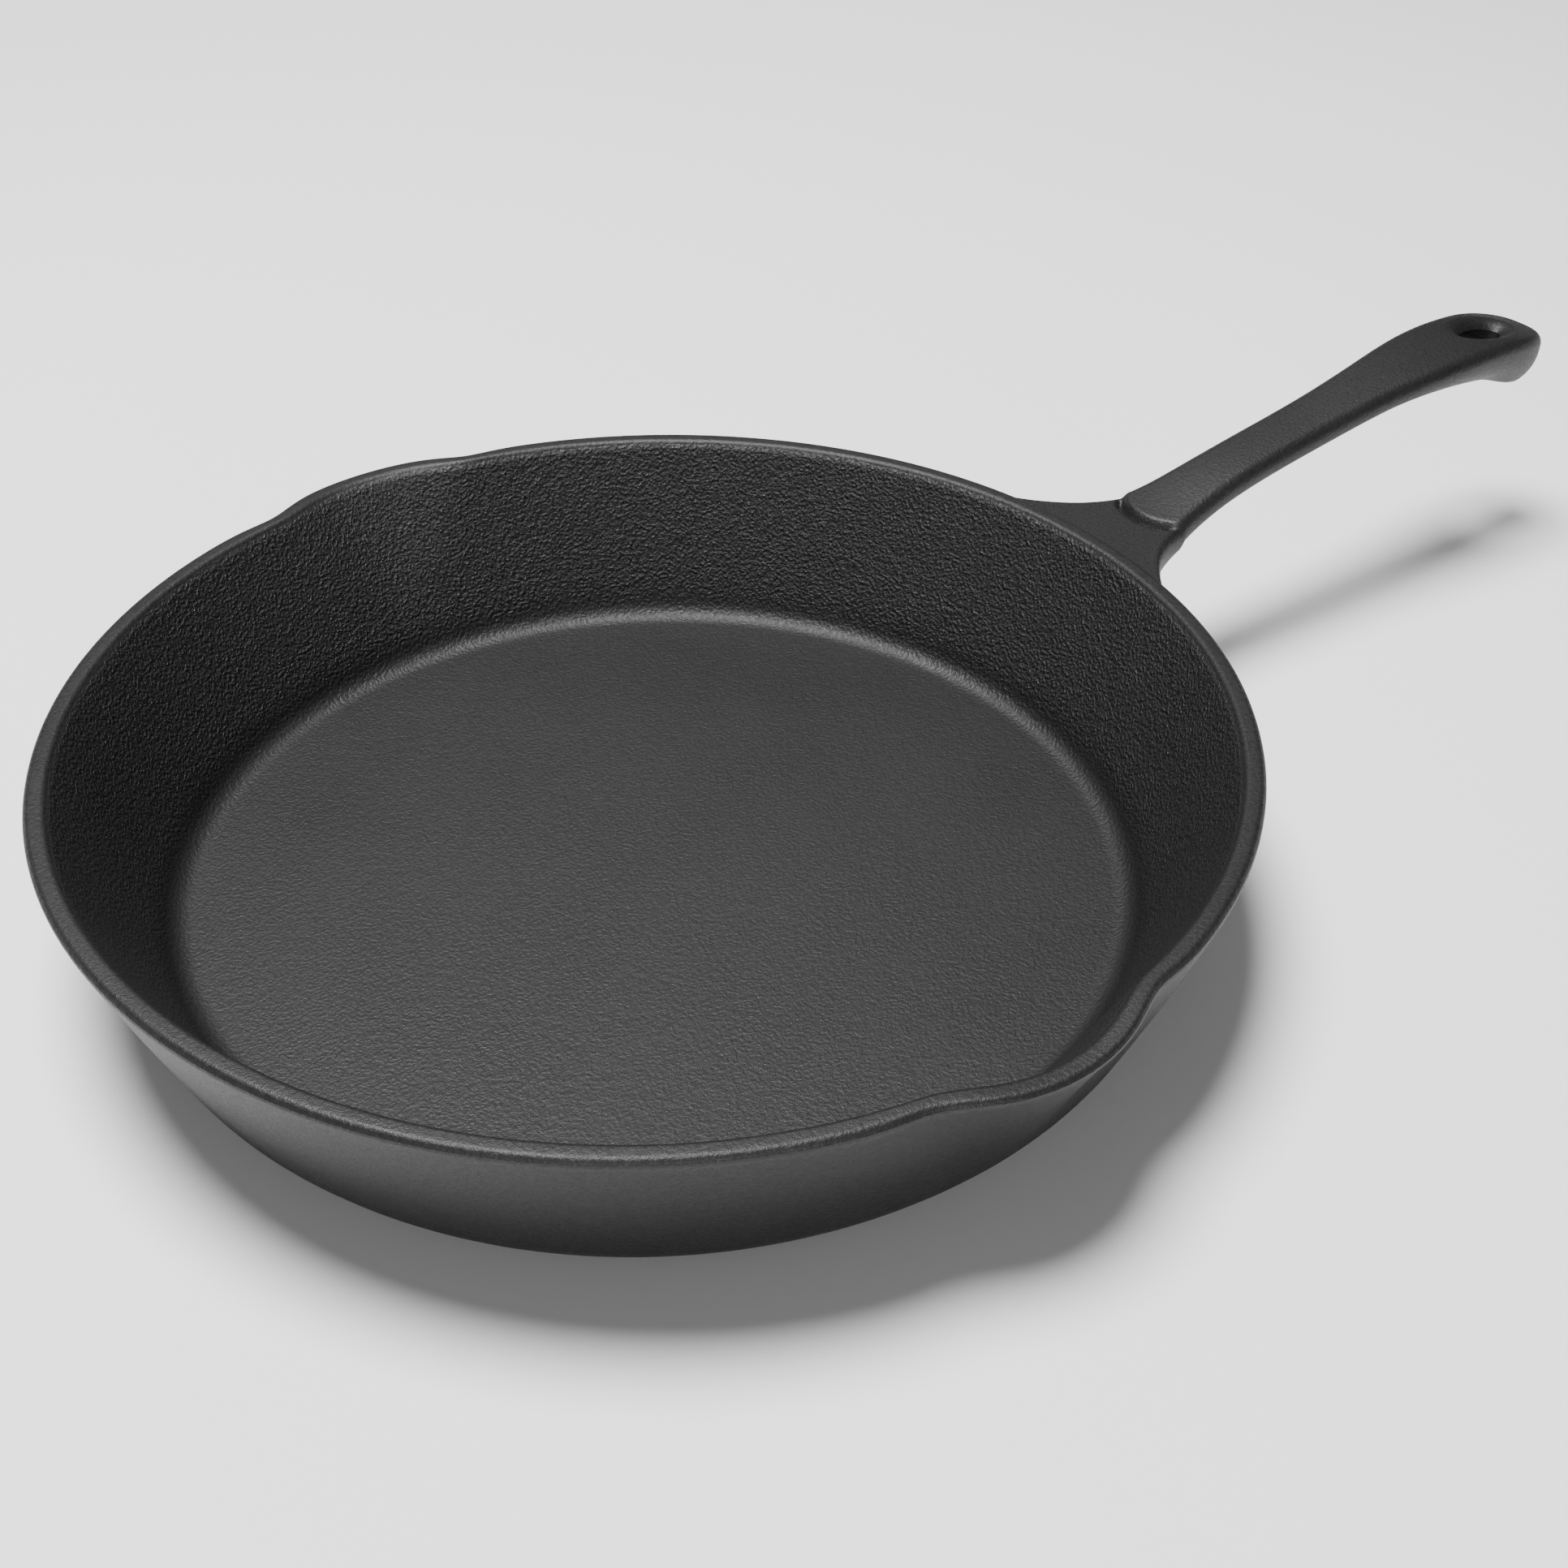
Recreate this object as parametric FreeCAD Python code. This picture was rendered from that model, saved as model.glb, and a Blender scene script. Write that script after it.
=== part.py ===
import FreeCAD, Part
import math
import os

# A one-piece cast iron skillet: a flared round pan with two pour spouts and a hanging handle.
# The skillet is a single sand casting with no loose parts. It is written here as the regions
# that a founder would name, each one a closed solid that meets its neighbours face to face.
# Millimetres. The origin is the centre of the underside, +Z is up, +X runs along the handle.

# Pan
rim_radius = 130.0  # outer edge of the rim
pan_height = 46.0
base_radius = 112.0  # where the line of the outer wall meets the underside
heel_radius = 11.0  # rounding between the underside and the outer wall
floor_thickness = 4.5
rim_width = 5.0
wall_foot_width = 8.3  # width of the wall at the level of the floor
floor_fillet = 6.0  # rounding between the floor and the inner wall
rim_round = 1.2  # rounding of both edges of the rim

# Pour spouts, one at each side of the pan
spout_angle = 90.0  # degrees from the handle to each spout
spout_sector = 15.0  # degrees to each side that count as the spout
spout_reach = 5.0  # how far the lip stands out past the rim
spout_lip_radius = 46.0  # rounding of the lip, seen from above
spout_foot_height = 20.0  # where the bulge meets the outer wall
groove_foot_height = 22.0  # where the groove meets the inner wall

# Handle, with distances along it counted from the edge of the rim
handle_length = 160.0  # from the rim to the tip
root_half_width = 25.5  # where the web leaves the wall
root_depth = 22.0  # how far down the wall the web reaches
flare_distance = 7.0
flare_half_width = 17.0
neck_distance = 17.0  # where the web ends and the grip starts
neck_half_width = 10.8
neck_rise = 1.2  # height of the grip's top above the rim
neck_thickness = 12.0
waist_distance = 56.0  # the slimmest place
waist_half_width = 8.2
waist_rise = 8.0
waist_thickness = 7.8
swell_distance = 129.0  # the widest place, over the hole
swell_half_width = 12.3
swell_rise = 16.3
swell_thickness = 10.5
tip_rise = 11.5
tip_thickness = 12.0
handle_round = 2.0  # rounding of the handle's long edges

# Groove across the top of the web, in front of the rounded end of the grip
groove_curve = 14.0  # radius of its path, seen from above
groove_radius = 1.6  # radius of its own section
groove_distance = 14.0  # from the rim to the nearest point of its path

# Hanging hole, a slot with a flared mouth
hole_distance = 140.0  # from the rim to the middle of the slot
hole_length = 15.0
hole_width = 8.0
mouth_margin = 3.0  # how far the mouth stands out all round the slot
mouth_depth = 3.0
eye_distance = 112.0  # from the rim to where the eye starts

clear = 5.0  # how far a cutting tool runs past the metal

inner_rim_radius = rim_radius - rim_width
wall_spread = (rim_radius - base_radius) / pan_height
inner_base_radius = base_radius + wall_spread * floor_thickness - wall_foot_width
cavity_depth = pan_height - floor_thickness
cavity_spread = (inner_rim_radius - inner_base_radius) / cavity_depth
web_start = rim_radius - rim_width
hole_centre = rim_radius + hole_distance


def vector(x, y, z=0.0):
    return FreeCAD.Vector(x, y, z)


def rounding_length(spread, radius):
    """Distance from a corner to the tangent point of its rounding, for a wall of that spread."""
    turn = math.pi / 2 - math.atan(spread)
    return radius * math.tan(turn / 2)


def disc_radius():
    """Radius of the flat disc inside both roundings at the foot of the wall."""
    inside = inner_base_radius - rounding_length(cavity_spread, floor_fillet)
    outside = base_radius - rounding_length(wall_spread, heel_radius)
    return min(inside, outside) - 1.0


def rounded_face(corners):
    """Face in the XZ plane from (x, z, radius) corners, each rounded by an arc of its radius."""
    points = [vector(x, 0, z) for x, z, radius in corners]
    edges = []
    ends = []
    for index, corner in enumerate(corners):
        here = points[index]
        before = (points[index - 1] - here).normalize()
        after = (points[(index + 1) % len(points)] - here).normalize()
        if corner[2] == 0:
            ends.append((here, here))
            continue
        half = before.getAngle(after) / 2
        reach = corner[2] / math.tan(half)
        start = here + before * reach
        end = here + after * reach
        middle = here + (before + after).normalize() * (corner[2] / math.sin(half) - corner[2])
        edges.append(Part.Arc(start, middle, end).toShape())
        ends.append((start, end))
    for index in range(len(ends)):
        edges.append(Part.makeLine(ends[index - 1][1], ends[index][0]))
    return Part.Face(Part.Wire(Part.__sortEdges__(edges)))


def revolved(face):
    return face.revolve(vector(0, 0, 0), vector(0, 0, 1), 360)


def wall_ring(rounding):
    """The whole wall with its foot, and with both edges of the rim rounded by that much."""
    foot = disc_radius()
    return revolved(rounded_face([
        (foot, 0, 0),
        (base_radius, 0, heel_radius),
        (rim_radius, pan_height, rounding),
        (inner_rim_radius, pan_height, rounding),
        (inner_base_radius, floor_thickness, floor_fillet),
        (foot, floor_thickness, 0),
    ]))


def pan_outside():
    """The pan with its cavity filled, which is what the handle is trimmed to."""
    return revolved(rounded_face([
        (0, 0, 0),
        (base_radius, 0, heel_radius),
        (rim_radius, pan_height, rim_round),
        (0, pan_height, 0),
    ]))


def cavity():
    above = inner_rim_radius + cavity_spread * clear
    return revolved(rounded_face([
        (0, floor_thickness, 0),
        (inner_base_radius, floor_thickness, floor_fillet),
        (above, pan_height + clear, 0),
        (0, pan_height + clear, 0),
    ]))


def sector(middle, half):
    """Wedge about the Z axis, taller and wider than the pan, half to each side of middle."""
    size = rim_radius + spout_reach + clear
    height = pan_height + 2 * clear
    wedge = Part.makeCylinder(size, height, vector(0, 0, -clear), vector(0, 0, 1), 2 * half)
    wedge.rotate(vector(0, 0, 0), vector(0, 0, 1), middle - half)
    return wedge


def wall(middle):
    """The stretch of wall between the two spouts, about that direction."""
    return wall_ring(rim_round).common(sector(middle, spout_angle - spout_sector))


def spout_cone(foot_height, foot_radius, top_radius, above):
    """Upright cone whose outermost line runs down the wall, carried on above the rim."""
    spread = (top_radius - foot_radius) / (pan_height - foot_height)
    centre = rim_radius + spout_reach - spout_lip_radius
    height = pan_height + above - foot_height
    mouth_radius = foot_radius + spread * height
    return Part.makeCone(foot_radius, mouth_radius, height, vector(centre, 0, foot_height))


def pour_spout(direction):
    """The wall at one side of the pan, bulged outwards and grooved inside for pouring."""
    centre = rim_radius + spout_reach - spout_lip_radius
    outer_foot = base_radius + wall_spread * spout_foot_height - centre
    bulge = spout_cone(spout_foot_height, outer_foot, spout_lip_radius, 0)
    groove_fall = pan_height - groove_foot_height
    inner_foot = inner_rim_radius - cavity_spread * groove_fall - centre
    groove = spout_cone(groove_foot_height, inner_foot, spout_lip_radius - rim_width, clear)
    bulge = bulge.common(sector(0, spout_sector)).cut(cavity())
    plain = wall_ring(0).common(sector(0, spout_sector))
    spout = plain.fuse(bulge).cut(groove).removeSplitter()
    spout.rotate(vector(0, 0, 0), vector(0, 0, 1), direction)
    return spout


def handle_outline():
    """The handle seen from above, as a prism; both sides follow one smooth curve."""
    side = [
        vector(web_start, root_half_width),
        vector(rim_radius + flare_distance, flare_half_width),
        vector(rim_radius + neck_distance, neck_half_width),
        vector(rim_radius + waist_distance, waist_half_width),
        vector(rim_radius + swell_distance, swell_half_width),
        vector(rim_radius + handle_length, 0),
    ]
    curve = Part.BSplineCurve()
    curve.interpolate(side, InitialTangent=vector(1, -1), FinalTangent=vector(0, -1))
    left = curve.toShape()
    right = left.mirror(vector(0, 0, 0), vector(0, 1, 0))
    inside = rim_radius / 2
    corner = vector(inside, root_half_width)
    opposite = vector(inside, -root_half_width)
    back = Part.makePolygon([side[0], corner, opposite, vector(web_start, -root_half_width)])
    face = Part.Face(Part.Wire(Part.__sortEdges__([left, right] + back.Edges)))
    return face.extrude(vector(0, 0, 2 * pan_height))


def handle_profile():
    """The handle seen from the side, as a prism: a rising top line over an arched underline."""
    waist = rim_radius + waist_distance
    swell = rim_radius + swell_distance
    tip = rim_radius + handle_length
    neck = rim_radius + neck_distance
    top_points = [
        vector(rim_radius, 0, pan_height),
        vector(neck, 0, pan_height + neck_rise),
        vector(waist, 0, pan_height + waist_rise),
        vector(swell, 0, pan_height + swell_rise),
        vector(tip, 0, pan_height + tip_rise),
    ]
    under_points = [
        vector(web_start, 0, pan_height - root_depth),
        vector(neck, 0, top_points[1].z - neck_thickness),
        vector(waist, 0, top_points[2].z - waist_thickness),
        vector(swell, 0, top_points[3].z - swell_thickness),
        vector(tip, 0, top_points[4].z - tip_thickness),
    ]
    top = Part.BSplineCurve()
    top.interpolate(top_points, InitialTangent=vector(1, 0, 0), FinalTangent=vector(1, 0, -0.5))
    under = Part.BSplineCurve()
    under.interpolate(under_points)
    inside = rim_radius / 2
    corners = [under_points[0], vector(inside, 0, pan_height - root_depth)]
    corners += [vector(inside, 0, pan_height), top_points[0]]
    end = Part.makeLine(top_points[-1], under_points[-1])
    edges = [top.toShape(), under.toShape(), end] + Part.makePolygon(corners).Edges
    face = Part.Face(Part.Wire(Part.__sortEdges__(edges)))
    width = 2 * root_half_width + 2 * clear
    return face.extrude(vector(0, width, 0)).translated(vector(0, -width / 2, 0))


def handle_blank():
    """The whole handle with its long edges rounded, before the pan and the hole are cut away."""
    blank = handle_outline().common(handle_profile())
    long_edges = [edge for edge in blank.Edges if edge.Length > handle_length]
    return blank.makeFillet(handle_round, long_edges).cut(pan_outside())


def slab(start, end):
    """Everything between two distances from the pan's axis."""
    width = 2 * root_half_width + 2 * clear
    return Part.makeBox(end - start, width, 3 * pan_height, vector(start, -width / 2, -clear))


def slot(length, width, height):
    """Flat slot outline about the hole's centre, at that height."""
    radius = width / 2
    start = hole_centre - length / 2 + radius
    end = hole_centre + length / 2 - radius
    near_left = vector(start, radius, height)
    near_right = vector(start, -radius, height)
    far_left = vector(end, radius, height)
    far_right = vector(end, -radius, height)
    near_end = Part.Arc(near_right, vector(start - radius, 0, height), near_left).toShape()
    far_end = Part.Arc(far_left, vector(end + radius, 0, height), far_right).toShape()
    left = Part.makeLine(near_left, far_left)
    right = Part.makeLine(far_right, near_right)
    return Part.Wire([left, far_end, right, near_end])


def hanging_hole():
    """Slot right through the eye, with a mouth that flares open at the top."""
    top = pan_height + swell_rise
    through = Part.Face(slot(hole_length, hole_width, 0)).extrude(vector(0, 0, 2 * top))
    flare = mouth_margin / mouth_depth
    margin = 2 * (mouth_margin + flare * clear)
    wide = slot(hole_length + margin, hole_width + margin, top + clear)
    narrow = slot(hole_length, hole_width, top - mouth_depth)
    return through.fuse(Part.makeLoft([narrow, wide], True, True))


def web_groove():
    centre = vector(rim_radius + groove_distance + groove_curve, 0, pan_height + neck_rise / 2)
    return Part.makeTorus(groove_curve, groove_radius, centre)


def save(name, shape):
    shape.exportStep("parts/" + name + ".step")
    print(name, shape.isValid(), len(shape.Solids), round(shape.Volume), shape.BoundBox)


def main():
    os.makedirs("parts", exist_ok=True)
    handle = handle_blank()
    neck = rim_radius + neck_distance
    eye = rim_radius + eye_distance
    tip = rim_radius + handle_length + clear
    save("pan_base", Part.makeCylinder(disc_radius(), floor_thickness))
    save("handle_side_wall", wall(0))
    save("front_wall", wall(180))
    save("left_pour_spout", pour_spout(spout_angle))
    save("right_pour_spout", pour_spout(-spout_angle))
    save("handle_root", handle.common(slab(rim_radius / 2, neck)).cut(web_groove()))
    save("handle_grip", handle.common(slab(neck, eye)))
    save("hanging_eye", handle.common(slab(eye, tip)).cut(hanging_hole()))


main()
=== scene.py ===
"""A one-piece cast iron skillet: a flared pan with two pour spouts, and a hanging handle."""

import math

import bmesh
import bpy
import numpy as np
from mathutils import Matrix, Vector


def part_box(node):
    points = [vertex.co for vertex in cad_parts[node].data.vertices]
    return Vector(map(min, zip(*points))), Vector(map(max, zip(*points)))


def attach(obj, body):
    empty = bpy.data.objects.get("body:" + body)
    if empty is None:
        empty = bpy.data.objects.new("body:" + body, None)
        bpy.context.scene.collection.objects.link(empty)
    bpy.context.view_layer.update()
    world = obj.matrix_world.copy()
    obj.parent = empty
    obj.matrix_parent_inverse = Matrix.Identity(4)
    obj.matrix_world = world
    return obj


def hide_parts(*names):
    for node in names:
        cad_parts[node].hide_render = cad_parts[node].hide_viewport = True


bl_info = {
    "name": "Cast Iron Skillet",
    "version": (1, 0, 0),
    "blender": (4, 5, 0),
    "location": "View3D > Sidebar > Skillet",
    "description": "Builds a one-piece cast iron skillet on its packed frame",
    "category": "Add Mesh",
}

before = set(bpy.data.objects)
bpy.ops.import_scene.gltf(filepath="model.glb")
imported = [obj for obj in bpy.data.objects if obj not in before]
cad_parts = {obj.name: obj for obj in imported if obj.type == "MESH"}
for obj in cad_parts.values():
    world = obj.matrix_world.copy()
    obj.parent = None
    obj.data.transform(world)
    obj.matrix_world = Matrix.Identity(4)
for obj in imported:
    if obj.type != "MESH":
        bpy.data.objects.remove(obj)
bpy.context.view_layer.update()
PAN_NODES = ("pan_base", "handle_side_wall", "front_wall", "left_pour_spout", "right_pour_spout")
HANDLE_NODES = ("handle_root", "handle_grip", "hanging_eye")
WALL_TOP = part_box("front_wall")[1].z
FLOOR_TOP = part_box("pan_base")[1].z
SPOUT_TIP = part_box("left_pour_spout")[1].y
HANDLE_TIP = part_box("hanging_eye")[1].x
HANDLE_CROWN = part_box("hanging_eye")[1].z - WALL_TOP

MM = 0.001
RIM_RADIUS = 130 * MM
SPOUT_FLANK = math.radians(12.5)  # from the middle of a spout to where the rim draws in
FLANK_WIDTH = math.radians(3.5)
PAN_COLUMNS = 420
SMOOTH_GRAIN = 0.12  # share of the full grain on the rim and the outside
FLOOR_GRAIN = 0.2
HANDLE_GRAIN = 0.14

# A section of the handle: shares of the flat top, turns of the edge's arc, turns underneath.
FLAT = np.linspace(0, 1, 26, endpoint=False)
BEND = np.linspace(0, math.pi / 2, 11)
UNDER = np.linspace(0, math.pi / 2, 26)[1:]
UNDER_BLUNT = 2 / 2.4
WEB_FALL = 0.45 * MM  # how far the web lies below the rim
CROWN_FALL = 0.7 * MM  # how far the grip's top falls from its middle to its edges

SHARP_ANGLE = math.radians(40)
SMOOTH_ROUGHNESS, DULL_ROUGHNESS = 0.43, 0.53
HOLLOW_POLISH, PEBBLE_POLISH = -0.18, 0.26  # taken off the roughness where the grain is full
SAND_SHARE = 0.07  # height of the finest sand grain beside the pebbles

TABLE_SIZE = 12.0
TABLE_GAP = 0.05 * MM  # keeps the table clear of the flat underside
SKY_STRENGTH = 0.13
CAMERA_EYE = (-0.2055, -0.3184, 0.2629)  # the height is counted from the rim
CAMERA_TARGET = (0.0078, -0.0365, 0)
CAMERA_ROLL = math.radians(0.37)
CAMERA_LENS = 49.56


def length(name, description, default, least=0.0001, most=0.5):
    return bpy.props.FloatProperty(
        name=name, description=description, default=default, min=least, max=most,
        subtype="DISTANCE", unit="LENGTH", precision=4,
    )


def colour(name, description, default):
    return bpy.props.FloatVectorProperty(
        name=name, description=description, default=default, min=0, max=1, size=3, subtype="COLOR"
    )


class SkilletPanSettings(bpy.types.PropertyGroup):
    rim_radius: length("Rim radius", "Outer edge of the rim", RIM_RADIUS)
    wall_height: length("Height", "From the underside to the top of the rim", WALL_TOP)
    floor_thickness: length("Floor thickness", "Metal under the cooking surface", FLOOR_TOP)
    base_radius: length("Base radius", "Where the line of the outer wall meets the underside", 112 * MM)
    heel_radius: length("Heel rounding", "Between the underside and the outer wall", 11 * MM)
    wall_foot_width: length("Wall width at the foot", "At the level of the floor", 8.3 * MM)
    floor_fillet: length("Floor rounding", "Between the floor and the inner wall", 6 * MM)
    rim_width: length("Rim width", "Across the flat top of the wall", 5 * MM)
    rim_round: length("Rim rounding", "Both edges of the rim", 1.6 * MM)
    wall_belly: length("Wall belly", "How far the outer wall swells between rim and heel", 0.5 * MM, 0)
    spout_reach: length("Spout reach", "How far a lip stands out past the rim", SPOUT_TIP - RIM_RADIUS)
    spout_lip: length("Spout lip radius", "Rounding of a lip, seen from above", 44 * MM)
    spout_blend: length("Spout blend", "Softness of the flanks of a spout", 2.6 * MM)
    spout_pinch: length("Spout pinch", "How far the rim draws in beside a spout", 0.7 * MM, 0)
    groove_foot: length("Groove foot", "Height at which the groove meets the inner wall", 20 * MM)
    bulge_foot: length("Bulge foot", "Height at which the bulge meets the outer wall", 16 * MM)
    lip_fall: length("Lip fall", "How far the rim dips at the middle of a spout", 0.8 * MM, 0)
    unevenness: length("Unevenness", "Slow waviness left by the sand mould", 0.12 * MM, 0)


class SkilletHandleSettings(bpy.types.PropertyGroup):
    tip: length("Tip", "Distance of the tip from the pan's axis", HANDLE_TIP)
    waist_half_width: length("Waist", "Half the width of the slim part", 8.1 * MM)
    swell_half_width: length("Swell", "Half the width over the hole", 12.2 * MM)
    flare: length("Web flare", "How much half-width the web gains at the rim", 18.2 * MM)
    flare_length: length("Web flare length", "How quickly the web narrows", 10.3 * MM)
    crown_rise: length("Rise", "Height of the top over the rim at its highest", HANDLE_CROWN)
    depth: length("Depth", "Thickness of the grip", 7.2 * MM)
    tip_depth: length("Tip depth", "Thickness at the drooping tip", 14.5 * MM)
    tip_droop: length("Tip droop", "Fall of the top from its crown to the tip", 4.9 * MM)
    root_depth: length("Root depth", "How far down the wall the web reaches", 21 * MM)
    edge_round: length("Edge rounding", "Along the top edges", 3 * MM)
    hole_centre: length("Hole centre", "Distance from the pan's axis", 270 * MM)
    hole_half_length: length("Hole half length", "Along the handle", 7.5 * MM)
    hole_half_width: length("Hole half width", "Across the handle", 4 * MM)
    mouth_margin: length("Mouth margin", "How far the dish stands out round the hole", 4.2 * MM)
    mouth_depth: length("Mouth depth", "Depth of the dish round the hole", 2.6 * MM)
    groove_start: length("Groove start", "Where the curved groove is nearest to the pan", 144 * MM)
    groove_curve: length("Groove curve", "Radius of its path, seen from above", 14 * MM)
    groove_depth: length("Groove depth", "At the bottom of the groove", 1.9 * MM)


class SkilletFinishSettings(bpy.types.PropertyGroup):
    iron: colour("Iron", "Seasoned iron in the hollows of the grain", (0.004, 0.004, 0.004))
    worn: colour("Raised iron", "Seasoned iron on the tops of the grain", (0.011, 0.011, 0.011))
    floor: colour("Table", "The pale surface under the skillet", (0.86, 0.86, 0.86))
    grain_size: length("Grain size", "Width of one pebble of the sand-cast grain", 0.8 * MM)
    grain_height: length("Grain height", "Height of the pebbles on the inner wall", 0.27 * MM)


# ---------------------------------------------------------------- surfaces


def rounded_profile(corners, spacing):
    """Points along a polyline whose corners are rounded by arcs that touch both runs.

    corners is a list of (r, z, rounding). Straight runs are sampled about every spacing metres,
    and arcs every few degrees. Returns an (n, 2) array.
    """
    points = np.array([corner[:2] for corner in corners], float)
    pieces = []
    last = points[0]
    for index in range(1, len(points) - 1):
        here, rounding = points[index], corners[index][2]
        before = points[index - 1] - here
        after = points[index + 1] - here
        before /= np.linalg.norm(before)
        after /= np.linalg.norm(after)
        half = math.acos(float(before @ after)) / 2
        centre = here + (before + after) / np.linalg.norm(before + after) * rounding / math.sin(half)
        start = here + before * rounding / math.tan(half)
        end = here + after * rounding / math.tan(half)
        count = max(2, int(np.linalg.norm(start - last) / spacing))
        pieces.append(last + np.linspace(0, 1, count, endpoint=False)[:, None] * (start - last))
        first = math.atan2(start[1] - centre[1], start[0] - centre[0])
        turn = math.atan2(end[1] - centre[1], end[0] - centre[0]) - first
        turn = (turn + math.pi) % (2 * math.pi) - math.pi
        steps = first + turn * np.linspace(0, 1, 9, endpoint=False)
        pieces.append(centre + rounding * np.stack([np.cos(steps), np.sin(steps)], 1))
        last = end
    count = max(2, int(np.linalg.norm(points[-1] - last) / spacing))
    pieces.append(last + np.linspace(0, 1, count)[:, None] * (points[-1] - last))
    return np.concatenate(pieces)


def smooth_max(a, b, softness):
    """The larger of a and b, with the corner where they cross filled by a parabola."""
    overlap = np.clip(softness - np.abs(a - b), 0, None) / softness
    return np.maximum(a, b) + overlap**2 * softness / 4


def ramp(value, low, high):
    """0 below low, 1 above high, and a smooth S between them."""
    share = np.clip((value - low) / (high - low), 0, 1)
    return share * share * (3 - 2 * share)


def curve_through(stations, at):
    """Natural cubic spline through (place, value) stations, read at an array of places."""
    x = np.array([station[0] for station in stations], float)
    y = np.array([station[1] for station in stations], float)
    gap = np.diff(x)
    slope = np.diff(y) / gap
    system = np.eye(len(x))
    right = np.zeros(len(x))
    for row in range(1, len(x) - 1):
        system[row, row - 1 : row + 2] = gap[row - 1], 2 * (gap[row - 1] + gap[row]), gap[row]
        right[row] = 6 * (slope[row] - slope[row - 1])
    bend = np.linalg.solve(system, right)
    index = np.clip(np.searchsorted(x, at) - 1, 0, len(gap) - 1)
    ahead, behind = x[index + 1] - at, at - x[index]
    width = gap[index]
    curved = (bend[index] * ahead**3 + bend[index + 1] * behind**3) / (6 * width)
    left = (y[index] / width - bend[index] * width / 6) * ahead
    rest = (y[index + 1] / width - bend[index + 1] * width / 6) * behind
    return curved + left + rest


def grid_quads(rows, columns, around):
    """Corner numbers of the quads of a rows by columns grid, closed around the columns or not."""
    first = np.arange(columns if around else columns - 1)
    second = (first + 1) % columns
    below = np.arange(rows - 1)[:, None] * columns
    above = below + columns
    quads = np.stack([below + first, below + second, above + second, above + first], -1)
    return quads.reshape(-1, 4)


def grid_piece(name, points, quads, grain):
    """A closed mesh from grid points and quads; points that coincide become one."""
    mesh = bpy.data.meshes.new(name)
    mesh.from_pydata(points.reshape(-1, 3), [], quads)
    attribute = mesh.attributes.new("grain", "FLOAT", "POINT")
    attribute.data.foreach_set("value", grain.astype(np.float32).ravel())
    work = bmesh.new()
    work.from_mesh(mesh)
    bmesh.ops.remove_doubles(work, verts=work.verts, dist=0.01 * MM)
    bmesh.ops.dissolve_degenerate(work, edges=work.edges, dist=0.001 * MM)
    bmesh.ops.recalc_face_normals(work, faces=work.faces)
    work.to_mesh(mesh)
    work.free()
    mesh.shade_smooth()
    mesh.set_sharp_from_angle(angle=SHARP_ANGLE)
    piece = bpy.data.objects.new(name, mesh)
    bpy.context.scene.collection.objects.link(piece)
    return piece


def hand_over(piece, nodes, material):
    piece.data.materials.append(material)
    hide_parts(*nodes)
    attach(piece, "root")


# ---------------------------------------------------------------- pan


def wall_lines(pan):
    """Radius of the inner wall at the floor and at the rim, and the spread of both walls."""
    spread = (pan.rim_radius - pan.base_radius) / pan.wall_height
    inner_base = pan.base_radius + spread * pan.floor_thickness - pan.wall_foot_width
    inner_rim = pan.rim_radius - pan.rim_width
    inner_spread = (inner_rim - inner_base) / (pan.wall_height - pan.floor_thickness)
    return inner_base, inner_rim, inner_spread, spread


def pan_profile(pan):
    """Half section of the pan, from the middle of the floor over the rim to the middle underneath."""
    inner_base, inner_rim = wall_lines(pan)[:2]
    return rounded_profile([
        (0, pan.floor_thickness, 0),
        (inner_base, pan.floor_thickness, pan.floor_fillet),
        (inner_rim, pan.wall_height, pan.rim_round),
        (pan.rim_radius, pan.wall_height, pan.rim_round),
        (pan.base_radius, 0, pan.heel_radius),
        (0, 0, 0),
    ], 1.1 * MM)


def thin_out(profile, flat_radius, spacing):
    """Drops points of the two flat discs until they are about spacing apart."""
    radius = profile[:, 0]
    inside = radius < flat_radius
    step = np.floor(radius / spacing)
    keep = ~inside
    keep[0] = keep[-1] = True
    changed = np.ones(len(step), bool)
    changed[1:] = step[1:] != step[:-1]
    return profile[keep | (inside & changed)]


def spout_radius(pan, turn, height, tip, lip, foot_radius, foot_height):
    """Radius of the spout's channel: an upright cone seen from the pan's axis.

    The cone is lip wide at the rim and narrows towards foot_height, where its outermost line
    meets the plain wall. The result is the far crossing of each ray with the cone's circle.
    """
    centre = tip - lip
    share = (pan.wall_height - height) / (pan.wall_height - foot_height)
    radius = lip + (foot_radius - centre - lip) * share
    across = np.clip(radius**2 - (centre * np.sin(turn)) ** 2, 0, None)
    return np.where(np.cos(turn) > 0, centre * np.cos(turn) + np.sqrt(across), 0)


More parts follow.
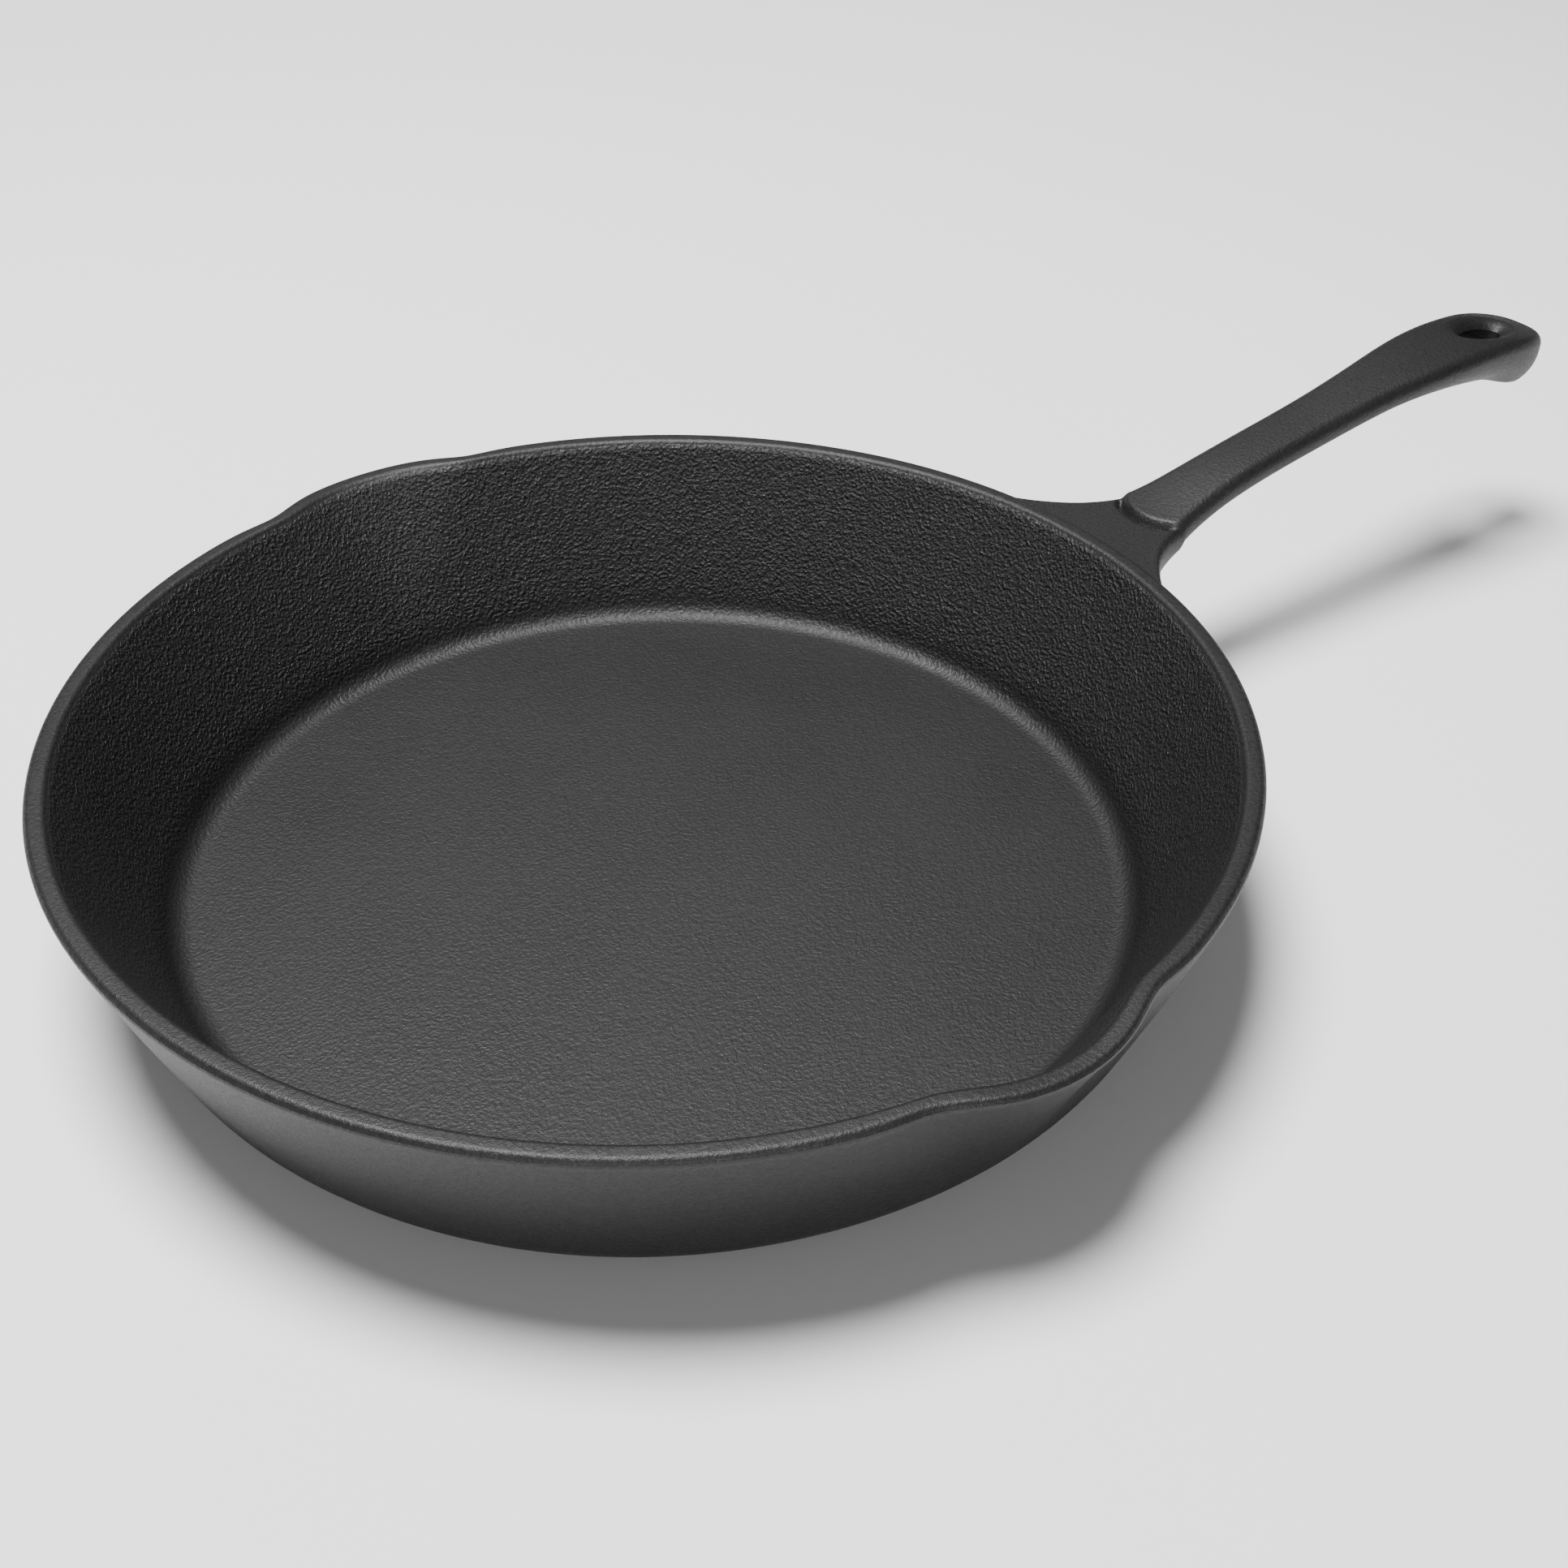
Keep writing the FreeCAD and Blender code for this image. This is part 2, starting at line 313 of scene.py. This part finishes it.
def spout_pushes(pan, turn, height):
    """How far the spouts push the inner and the outer wall outwards, by turn and height.

    Each wall becomes the softened larger of its plain radius and the spout's channel. The outer
    wall draws in a little beside each spout.
    """
    inner_rim, inner_spread, spread = wall_lines(pan)[1:]
    tip = pan.rim_radius + pan.spout_reach

    inner_wall = inner_rim - inner_spread * (pan.wall_height - height)
    groove_foot = inner_rim - inner_spread * (pan.wall_height - pan.groove_foot)
    groove = spout_radius(
        pan, turn, height, tip - pan.rim_width, pan.spout_lip - pan.rim_width, groove_foot,
        pan.groove_foot,
    )
    push_in = smooth_max(inner_wall, groove, pan.spout_blend) - inner_wall

    outer_wall = pan.rim_radius - spread * (pan.wall_height - height)
    bulge_foot = pan.rim_radius - spread * (pan.wall_height - pan.bulge_foot)
    bulge = spout_radius(pan, turn, height, tip, pan.spout_lip, bulge_foot, pan.bulge_foot)
    push_out = smooth_max(outer_wall, bulge, pan.spout_blend) - outer_wall
    beside = np.exp(-(((turn - SPOUT_FLANK) / FLANK_WIDTH) ** 2))
    push_out = push_out - pan.spout_pinch * beside * ramp(height, pan.bulge_foot, pan.wall_height)
    return push_in, push_out


def mould_wave(pan, radius, height, angle):
    """Slow waviness of the walls: three sines round the pan, fading out towards its middle."""
    wave = np.sin(3 * angle + 40 * height) + 0.7 * np.sin(5 * angle - 60 * radius + 1.3)
    wave = wave + 0.5 * np.sin(8 * angle + 90 * height + 0.4)
    return wave * pan.unevenness / 2 * ramp(radius, 0.02, 0.09)


def floor_wave(pan, full, angle):
    """Slow waviness of the cooking surface: one sine along the handle and one across it."""
    wave = np.sin(50 * full * np.cos(angle)) + np.sin(43 * full * np.sin(angle) + 1)
    return wave * 0.5 * pan.unevenness


def pan_grain(pan, height, outside):
    """Share of the full grain: most on the inner wall, less on the floor, least outside."""
    on_wall = ramp(height, pan.floor_thickness, pan.floor_thickness + 9 * MM)
    below_rim = 1 - ramp(height, pan.wall_height - 2.2 * MM, pan.wall_height - 0.6 * MM)
    inside_grain = FLOOR_GRAIN + (1 - FLOOR_GRAIN) * on_wall
    grain = np.where(outside, SMOOTH_GRAIN, inside_grain)
    return SMOOTH_GRAIN + (grain - SMOOTH_GRAIN) * below_rim


def pan_points(pan, columns):
    """The pan as profile radius and height turned about Z, with both spouts pushed outwards.

    A point takes the push of the inner wall or of the outer wall, or one between them on top of
    the rim.
    """
    profile = thin_out(pan_profile(pan), 0.09, 2.6 * MM)
    radius, height = profile[:, :1], profile[:, 1:]
    angle = np.linspace(0, 2 * math.pi, columns, endpoint=False)[None, :]
    turn = np.abs((np.abs((angle + math.pi) % (2 * math.pi) - math.pi)) - math.pi / 2)
    inner_base, inner_rim = wall_lines(pan)[:2]
    push_in, push_out = spout_pushes(pan, turn, height)

    outside = (np.arange(len(profile)) >= np.argmax(radius[:, 0]))[:, None]
    side = np.where(outside, 1.0, ramp(radius, inner_rim - MM, pan.rim_radius - MM))
    push = (push_in * (1 - side) + push_out * side) * ramp(radius, 0.6 * inner_base, inner_base)
    belly = pan.wall_belly * np.sin(math.pi * np.clip(height / pan.wall_height, 0, 1)) * outside
    full = radius + push + belly + mould_wave(pan, radius, height, angle)

    near_spout = np.clip(push_out / pan.spout_reach, 0, 1)
    near_top = ramp(height, pan.wall_height - 6 * MM, pan.wall_height)
    on_floor = ~outside & (height < pan.floor_thickness + 2 * MM)
    lift = floor_wave(pan, full, angle) * on_floor * (1 - ramp(radius, 0.08, 0.1))
    tall = height - pan.lip_fall * near_spout**2 * near_top + lift
    points = np.stack([full * np.cos(angle), full * np.sin(angle), tall + 0 * angle], -1)
    return points, pan_grain(pan, height, outside) + 0 * angle


def build_pan(pan, material):
    points, grain = pan_points(pan, PAN_COLUMNS)
    piece = grid_piece("skillet_pan", points, grid_quads(len(points), PAN_COLUMNS, True), grain)
    hand_over(piece, PAN_NODES, material)


# ---------------------------------------------------------------- handle


def half_width(handle, x, rim_radius):
    """Half width along the handle: a slim bar that swells at the eye, with the web's flare added.

    The flare falls away from the rim exponentially.
    """
    along = x - rim_radius
    waist, swell = handle.waist_half_width, handle.swell_half_width
    bar = curve_through([
        (-10 * MM, waist), (30 * MM, waist), (60 * MM, waist + 0.05 * MM), (97 * MM, 9.6 * MM),
        (118 * MM, swell - 0.5 * MM), (132 * MM, swell), (handle.tip - rim_radius, swell - 0.6 * MM),
    ], along)
    return bar + handle.flare * np.exp(-along / handle.flare_length)


def top_height(handle, x, rim_radius, wall_height):
    """Height of the grip's top: it climbs from the web, levels out over the hole and drops."""
    rise = handle.crown_rise
    return wall_height + curve_through([
        (10 * MM, -0.3 * MM), (17 * MM, 0.9 * MM), (34 * MM, 4.7 * MM), (74 * MM, 10.9 * MM),
        (106 * MM, rise - 1.2 * MM), (125 * MM, rise), (144 * MM, rise - 1.3 * MM),
        (handle.tip - rim_radius, rise - handle.tip_droop),
    ], x - rim_radius)


def tip_droop_depth(handle, x, rim_radius):
    """How much deeper the edge of the handle gets as it droops towards the tip."""
    share = ramp(x - rim_radius, 92 * MM, handle.tip - rim_radius)
    return (handle.tip_depth - handle.depth) * share


def under_depth(handle, x, rim_radius):
    """Thickness below the top: the grip's own, deeper towards the wall and towards the tip."""
    along = x - rim_radius
    web = (handle.root_depth - handle.depth) * np.exp(-np.clip(along, -5 * MM, None) / (11 * MM))
    return handle.depth + web + tip_droop_depth(handle, x, rim_radius)


def handle_columns(handle, rim_radius):
    """Outline points and the inner points that each section starts from, on the +Y side.

    Along the bar the inner point is on the centreline. Round the eye the outline is a blunt
    superellipse, and the inner point runs along the edge of the hole at twice the angle.
    """
    hole_start = handle.hole_centre - handle.hole_half_length
    root = rim_radius - 2.5 * MM
    near = np.linspace(root, rim_radius + 22 * MM, 66, endpoint=False)
    far = np.linspace(rim_radius + 22 * MM, hole_start, 96, endpoint=False)
    bar = np.concatenate([near, far])
    bar_outline = np.stack([bar, half_width(handle, bar, rim_radius)], 1)
    bar_inner = np.stack([bar, 0 * bar], 1)
    turn = np.linspace(0, math.pi / 2, 56)
    blunt = 2 / 3.2
    reach = handle.tip - hole_start
    x = hole_start + reach * np.sin(turn) ** blunt
    y = half_width(handle, x, rim_radius) * np.cos(turn).clip(0) ** blunt
    eye_outline = np.stack([x, y], 1)
    hole_x = handle.hole_centre - handle.hole_half_length * np.cos(2 * turn)
    hole_y = handle.hole_half_width * np.sin(2 * turn)
    eye_inner = np.stack([hole_x, hole_y.clip(0)], 1)
    outline = np.concatenate([bar_outline, eye_outline])
    inner = np.concatenate([bar_inner, eye_inner])
    return outline, inner, len(bar)


def dish_fall(handle, x, y):
    """Fall of the top towards the hole: deepest at the hole's edge, nothing at the mouth's edge."""
    a, b = handle.hole_half_length, handle.hole_half_width
    hole = np.sqrt(((x - handle.hole_centre) / a) ** 2 + (y / b) ** 2).clip(1)
    wide_a, wide_b = a + handle.mouth_margin, b + handle.mouth_margin
    mouth = np.sqrt(((x - handle.hole_centre) / wide_a) ** 2 + (y / wide_b) ** 2)
    start = mouth / hole
    share = np.clip((mouth - start) / (1 - start), 0, 1)
    return handle.mouth_depth * (1 - share) ** 1.8


def web_step(handle, x, y):
    """(share of the grip's height, depth of the groove) at a point on top of the handle.

    Both follow the distance from a circle whose nearest point to the pan is groove_start.
    """
    centre = handle.groove_start + handle.groove_curve
    distance = np.hypot(np.minimum(x - centre, 0), y) - handle.groove_curve
    grip = np.where(x < centre, 1 - ramp(distance, -1.3 * MM, 0.5 * MM), 1)
    fade = 1 - ramp(np.abs(y), 7.5 * MM, 9.8 * MM)
    return grip, handle.groove_depth * np.exp(-((distance - 0.7 * MM) / (0.9 * MM)) ** 2) * fade


def section_reach(across, edge):
    """How far out the points of each section lie: over the top, round the edge, back underneath."""
    top = (across - edge)[:, None] * FLAT
    arc = (across - edge)[:, None] + edge[:, None] * np.sin(BEND)
    under = across[:, None] * np.cos(UNDER).clip(0) ** UNDER_BLUNT
    return np.concatenate([top, arc, under], 1)


def handle_top(handle, x, y, rim_radius, wall_height):
    """Height of the top: a level web, the rising crowned grip, the groove and the dish."""
    grip_share, groove = web_step(handle, x, y)
    web_top = wall_height - WEB_FALL
    grip_top = top_height(handle, x, rim_radius, wall_height)
    crown = CROWN_FALL * (y / half_width(handle, x, rim_radius)) ** 2
    top = web_top + (grip_top - web_top) * grip_share - crown * grip_share - groove
    return top - dish_fall(handle, x, y)


def handle_underside(handle, outline, edge, rim_radius, wall_height):
    """Height underneath: a superellipse from the edge inwards, hollowed under the drooping tip."""
    edge_x, edge_y = outline[:, :1], outline[:, 1:]
    share, _ = web_step(handle, edge_x, edge_y)
    web_top = wall_height - WEB_FALL
    grip_top = top_height(handle, edge_x, rim_radius, wall_height)
    edge_top = web_top + (grip_top - web_top) * share - CROWN_FALL * share
    below = under_depth(handle, edge_x, rim_radius) - edge[:, None]
    height = edge_top - edge[:, None] - below * np.sin(UNDER) ** UNDER_BLUNT
    inward = 1 - np.cos(UNDER).clip(0) ** UNDER_BLUNT
    return height + tip_droop_depth(handle, edge_x, rim_radius) * ramp(inward, 0.3, 1)


def handle_points(handle, rim_radius, wall_height, lean):
    """One side of the handle as sections carried along its outline.

    Each section runs over the top from the inner point, round the edge on an arc, and back
    underneath. Close to the pan the sections bend with the wall.
    """
    outline, inner, bar_count = handle_columns(handle, rim_radius)
    across = np.linalg.norm(outline - inner, axis=1)
    outward = (outline - inner) / across[:, None]
    edge = np.minimum(handle.edge_round, 0.45 * across)
    place = inner[:, None, :] + outward[:, None, :] * section_reach(across, edge)[:, :, None]
    x, y = place[..., 0], place[..., 1]

    z = handle_top(handle, x, y, rim_radius, wall_height)
    arc_end = len(FLAT) + len(BEND)
    z[:, len(FLAT) : arc_end] -= edge[:, None] * (1 - np.cos(BEND))
    z[:, arc_end:] = handle_underside(handle, outline, edge, rim_radius, wall_height)

    close = 1 - ramp(x, rim_radius, rim_radius + 20 * MM)
    wrapped = np.sqrt((rim_radius**2 - y**2).clip(0))
    x = x - close * (lean * (wall_height - z) + rim_radius - wrapped)
    return np.stack([x, y, z], -1), bar_count


def build_handle(handle, pan, material):
    lean = (pan.rim_radius - pan.base_radius) / pan.wall_height
    left, bar_count = handle_points(handle, pan.rim_radius, pan.wall_height, lean)
    columns, rows = left.shape[:2]
    cap = np.repeat(left[:1].mean(axis=1, keepdims=True), rows, 1) * [1, 0, 1]
    left = np.concatenate([cap, left])
    right = left * [1, -1, 1]
    loop = np.concatenate([left, right[::-1]])
    quads = grid_quads(len(loop), rows, False)
    first = np.arange(bar_count + 1, len(loop) - bar_count - 2)
    top, bottom = first * rows, first * rows + rows - 1
    walls = np.stack([top, bottom, bottom + rows, top + rows], 1)
    grain = np.full(loop.shape[:2], HANDLE_GRAIN)
    piece = grid_piece("skillet_handle", loop, np.concatenate([quads, walls]), grain)
    hand_over(piece, HANDLE_NODES, material)


# ---------------------------------------------------------------- finish


def seasoned_iron(finish):
    """Black seasoned sand casting: pebbled grain whose height follows the grain attribute."""
    material = bpy.data.materials.new("pebbled_iron")
    material.use_nodes = True
    nodes, links = material.node_tree.nodes, material.node_tree.links
    shader = nodes["Principled BSDF"]
    place = nodes.new("ShaderNodeTexCoord")
    grain = nodes.new("ShaderNodeAttribute")
    grain.attribute_name = "grain"

    def noise(scale, detail):
        texture = nodes.new("ShaderNodeTexNoise")
        texture.inputs["Scale"].default_value = scale
        texture.inputs["Detail"].default_value = detail
        links.new(place.outputs["Object"], texture.inputs["Vector"])
        return texture.outputs["Fac"]

    def spread(value, low, high, start, end):
        step = nodes.new("ShaderNodeMapRange")
        for name, number in zip(("From Min", "From Max", "To Min", "To Max"), (low, high, start, end)):
            step.inputs[name].default_value = number
        links.new(value, step.inputs["Value"])
        return step.outputs["Result"]

    def combine(operation, first, second, third=0.0):
        step = nodes.new("ShaderNodeMath")
        step.operation = operation
        for socket, value in zip(step.inputs, (first, second, third)):
            if isinstance(value, float):
                socket.default_value = value
            else:
                links.new(value, socket)
        return step.outputs[0]

    pebbles = noise(1 / finish.grain_size, 3.0)
    sand = noise(3.1 / finish.grain_size, 1.5)
    patches = noise(22.0, 4.0)

    tint = nodes.new("ShaderNodeMix")
    tint.data_type = "RGBA"
    tint.inputs["A"].default_value = (*finish.iron, 1)
    tint.inputs["B"].default_value = (*finish.worn, 1)
    links.new(spread(pebbles, 0.35, 0.65, 0.0, 1.0), tint.inputs["Factor"])
    links.new(tint.outputs["Result"], shader.inputs["Base Color"])

    even = spread(patches, 0.3, 0.7, SMOOTH_ROUGHNESS, DULL_ROUGHNESS)
    polish = spread(pebbles, 0.42, 0.68, HOLLOW_POLISH, PEBBLE_POLISH)
    polished = combine("MULTIPLY", polish, grain.outputs["Fac"])
    links.new(combine("SUBTRACT", even, polished), shader.inputs["Roughness"])
    shader.inputs["Specular IOR Level"].default_value = 0.36

    coarse = combine("MULTIPLY", pebbles, grain.outputs["Fac"])
    height = combine("MULTIPLY_ADD", sand, SAND_SHARE, coarse)
    relief = nodes.new("ShaderNodeBump")
    relief.inputs["Strength"].default_value = 1
    relief.inputs["Distance"].default_value = finish.grain_height * 4
    links.new(height, relief.inputs["Height"])
    links.new(relief.outputs["Normal"], shader.inputs["Normal"])
    return material


def plain_surface(name, tone):
    material = bpy.data.materials.new(name)
    material.use_nodes = True
    shader = material.node_tree.nodes["Principled BSDF"]
    shader.inputs["Base Color"].default_value = (*tone, 1)
    shader.inputs["Roughness"].default_value = 0.9
    return material


def iron_material(context):
    found = bpy.data.materials.get("pebbled_iron")
    return found or seasoned_iron(context.scene.skillet_finish)


# ---------------------------------------------------------------- stage


def table(finish):
    corners = np.array([(-1, -1, 0), (1, -1, 0), (1, 1, 0), (-1, 1, 0)]) * TABLE_SIZE / 2
    corners = corners - [0, 0, TABLE_GAP]
    mesh = bpy.data.meshes.new("table")
    mesh.from_pydata(corners, [], [(0, 1, 2, 3)])
    mesh.materials.append(plain_surface("pale_table", finish.floor))
    piece = bpy.data.objects.new("table", mesh)
    bpy.context.scene.collection.objects.link(piece)


def soft_light(name, place, target, size, power):
    lamp = bpy.data.lights.new(name, "AREA")
    lamp.shape = "DISK"
    lamp.size = size
    lamp.energy = power
    light = bpy.data.objects.new(name, lamp)
    light.location = place
    light.rotation_euler = (Vector(target) - Vector(place)).to_track_quat("-Z", "Y").to_euler()
    bpy.context.scene.collection.objects.link(light)


def studio_sky(strength):
    world = bpy.data.worlds.new("studio")
    world.use_nodes = True
    background = world.node_tree.nodes["Background"]
    background.inputs["Color"].default_value = (1, 1, 1, 1)
    background.inputs["Strength"].default_value = strength
    bpy.context.scene.world = world


def camera(wall_height):
    """The camera looks down over the pan's open side, with the handle leading away."""
    lens = bpy.data.cameras.new("camera")
    lens.lens = CAMERA_LENS
    lens.sensor_width = 36
    rim = Vector((0, 0, wall_height))
    eye = rim + Vector(CAMERA_EYE)
    target = rim + Vector(CAMERA_TARGET)
    roll = Matrix.Rotation(CAMERA_ROLL, 4, "Z")
    turn = (target - eye).to_track_quat("-Z", "Y").to_matrix().to_4x4()
    view = bpy.data.objects.new("camera", lens)
    view.matrix_world = Matrix.Translation(eye) @ turn @ roll
    bpy.context.scene.collection.objects.link(view)
    bpy.context.scene.camera = view


# ---------------------------------------------------------------- operators and panel


class SKILLET_OT_pan(bpy.types.Operator):
    """Builds the floor, wall, rim and both pour spouts"""

    bl_idname = "skillet.pan"
    bl_label = "Pan"

    def execute(self, context):
        build_pan(context.scene.skillet_pan, iron_material(context))
        return {"FINISHED"}


class SKILLET_OT_handle(bpy.types.Operator):
    """Builds the web, the grip and the hanging eye"""

    bl_idname = "skillet.handle"
    bl_label = "Handle"

    def execute(self, context):
        scene = context.scene
        build_handle(scene.skillet_handle, scene.skillet_pan, iron_material(context))
        return {"FINISHED"}


class SKILLET_OT_stage(bpy.types.Operator):
    """Sets the pale table, the soft studio light and the camera"""

    bl_idname = "skillet.stage"
    bl_label = "Stage"

    def execute(self, context):
        table(context.scene.skillet_finish)
        studio_sky(SKY_STRENGTH)
        soft_light("top_light", (-0.14, 0.22, 1.5), (0, 0, 0), 0.7, 62)
        soft_light("back_light", (0.75, 1.1, 0.95), (0, 0, 0), 1.1, 1.5)
        soft_light("front_light", (-0.5, -0.85, 0.17), (0, 0, 0.02), 0.3, 5)
        camera(context.scene.skillet_pan.wall_height)
        return {"FINISHED"}


class SKILLET_PT_panel(bpy.types.Panel):
    """Lists the skillet's sizes, colours and pieces"""

    bl_label = "Cast Iron Skillet"
    bl_idname = "SKILLET_PT_panel"
    bl_space_type = "VIEW_3D"
    bl_region_type = "UI"
    bl_category = "Skillet"

    def draw(self, context):
        for operator in OPERATORS:
            self.layout.operator(operator.bl_idname)
        for setting, _ in SETTINGS:
            group = getattr(context.scene, setting)
            box = self.layout.box()
            for name in group.__annotations__:
                box.prop(group, name)


OPERATORS = (SKILLET_OT_pan, SKILLET_OT_handle, SKILLET_OT_stage)
SETTINGS = (
    ("skillet_pan", SkilletPanSettings),
    ("skillet_handle", SkilletHandleSettings),
    ("skillet_finish", SkilletFinishSettings),
)


def register():
    for name, group in SETTINGS:
        bpy.utils.register_class(group)
        setattr(bpy.types.Scene, name, bpy.props.PointerProperty(type=group))
    for operator in OPERATORS:
        bpy.utils.register_class(operator)
    bpy.utils.register_class(SKILLET_PT_panel)


def unregister():
    bpy.utils.unregister_class(SKILLET_PT_panel)
    for operator in reversed(OPERATORS):
        bpy.utils.unregister_class(operator)
    for name, group in reversed(SETTINGS):
        delattr(bpy.types.Scene, name)
        bpy.utils.unregister_class(group)


def main():
    register()
    bpy.ops.skillet.pan()
    bpy.ops.skillet.handle()
    bpy.ops.skillet.stage()


if __name__ == "__main__":
    main()
